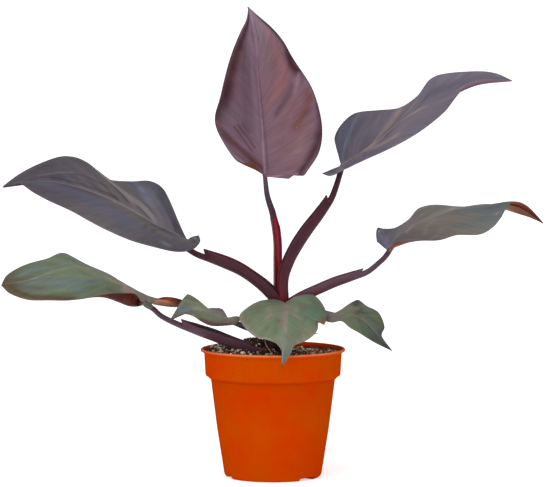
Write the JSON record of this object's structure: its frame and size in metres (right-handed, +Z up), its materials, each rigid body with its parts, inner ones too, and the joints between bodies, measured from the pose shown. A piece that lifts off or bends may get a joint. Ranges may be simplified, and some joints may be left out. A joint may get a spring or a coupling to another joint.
{
  "type": "potted philodendron",
  "caption": "Burgundy-leaved philodendron with upright and arching leaves on channelled stalks, growing in soil in a round plastic nursery pot.",
  "frame": {"origin": "centre of the pot's underside, on the surface it stands on", "axes": "+Z up along the pot's axis, +X to the right and -Y towards the viewer in the picture"},
  "size_m": [0.4459, 0.154, 0.388],
  "materials": {
    "pot_plastic": "smooth orange plastic with a soft sheen",
    "soil": "loose moist potting mix with perlite and bark",
    "stalk_burgundy": "smooth waxy plant skin, dark burgundy",
    "leaf_mauve": "glossy leaf, mauve with burgundy patches",
    "leaf_purple_grey": "satin leaf, slate purple with a pale midrib",
    "leaf_grey_green": "satin leaf, grey green, orange brown beneath",
    "leaf_green": "satin leaf, sage green, orange brown beneath"
  },
  "bodies": {
    "root": {"pot": "pot_plastic", "soil": "soil", "stem": "stalk_burgundy", "petiole_1": "stalk_burgundy", "petiole_2": "stalk_burgundy", "petiole_3": "stalk_burgundy", "petiole_4": "stalk_burgundy", "petiole_5": "stalk_burgundy", "petiole_6": "stalk_burgundy", "petiole_7": "stalk_burgundy", "petiole_8": "stalk_burgundy", "leaf_1": "leaf_mauve", "leaf_2": "leaf_purple_grey", "leaf_3": "leaf_purple_grey", "leaf_4": "leaf_grey_green", "leaf_5": "leaf_grey_green", "leaf_6": "leaf_green", "leaf_7": "leaf_green", "leaf_8": "leaf_green"}
  },
  "joints": []
}
